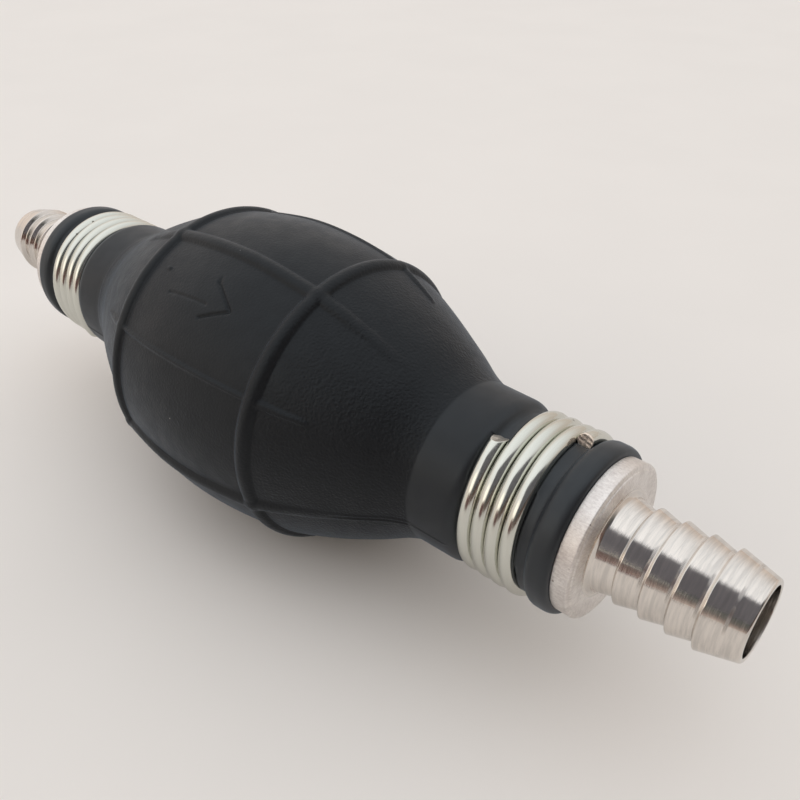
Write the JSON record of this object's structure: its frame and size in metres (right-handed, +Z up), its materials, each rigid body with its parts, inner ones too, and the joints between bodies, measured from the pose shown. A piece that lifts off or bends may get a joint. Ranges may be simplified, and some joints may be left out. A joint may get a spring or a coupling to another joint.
{
  "type": "siphon bulb pump",
  "caption": "Rubber squeeze bulb between two aluminium hose barbs, each with a spring check valve and a wire clamp on the neck; squeezing and releasing it moves liquid one way.",
  "frame": {"origin": "centre of the rubber bulb, on the axis of the pump", "axes": "+X along the pump, the way the liquid flows, from the inlet barb to the outlet barb; +Z up as it lies on a table"},
  "size_m": [0.1764, 0.0532, 0.0532],
  "materials": {
    "bulb_rubber": "matte black moulded rubber with a fine leather-like grain on the belly",
    "seal_rubber": "smooth black nitrile",
    "turned_aluminium": "bright turned surface with fine circumferential tool lines",
    "zinc_plated_wire": "bright zinc-plated round wire",
    "spring_steel": "plain stainless spring wire and strip",
    "white_nylon": "natural moulded nylon"
  },
  "bodies": {
    "root": {"inlet_fitting": "turned_aluminium", "outlet_fitting": "turned_aluminium", "inlet_clamp": "zinc_plated_wire", "outlet_clamp": "zinc_plated_wire", "inlet_valve_spring": "spring_steel", "inlet_spring_retainer": "white_nylon", "inlet_retaining_ring": "spring_steel", "outlet_retaining_ring": "spring_steel", "outlet_seat_ring": "white_nylon", "outlet_seat_o_ring": "seal_rubber", "outlet_valve_spring": "spring_steel", "outlet_stem_guide": "white_nylon"},
    "bulb": {"bulb": "bulb_rubber"},
    "inlet_valve": {"inlet_poppet": "white_nylon", "inlet_poppet_seal": "seal_rubber"},
    "outlet_valve": {"outlet_poppet": "white_nylon", "outlet_poppet_seal": "seal_rubber"}
  },
  "joints": [
    {"name": "bulb_squeeze", "type": "slide", "parent": "root", "child": "bulb", "axis": [0, 0, -1], "range_m": [0, 0.016], "stiffness_N_per_m": 2500, "deforming": ["bulb"]},
    {"name": "inlet_valve_lift", "type": "slide", "parent": "root", "child": "inlet_valve", "axis": [1, 0, 0], "range_m": [0, 0.0025], "stiffness_N_per_m": 100, "springref_m": -0.003, "deforming": ["inlet_valve_spring"]},
    {"name": "outlet_valve_lift", "type": "slide", "parent": "root", "child": "outlet_valve", "axis": [1, 0, 0], "range_m": [0, 0.0025], "stiffness_N_per_m": 100, "springref_m": -0.003, "deforming": ["outlet_valve_spring"]}
  ]
}
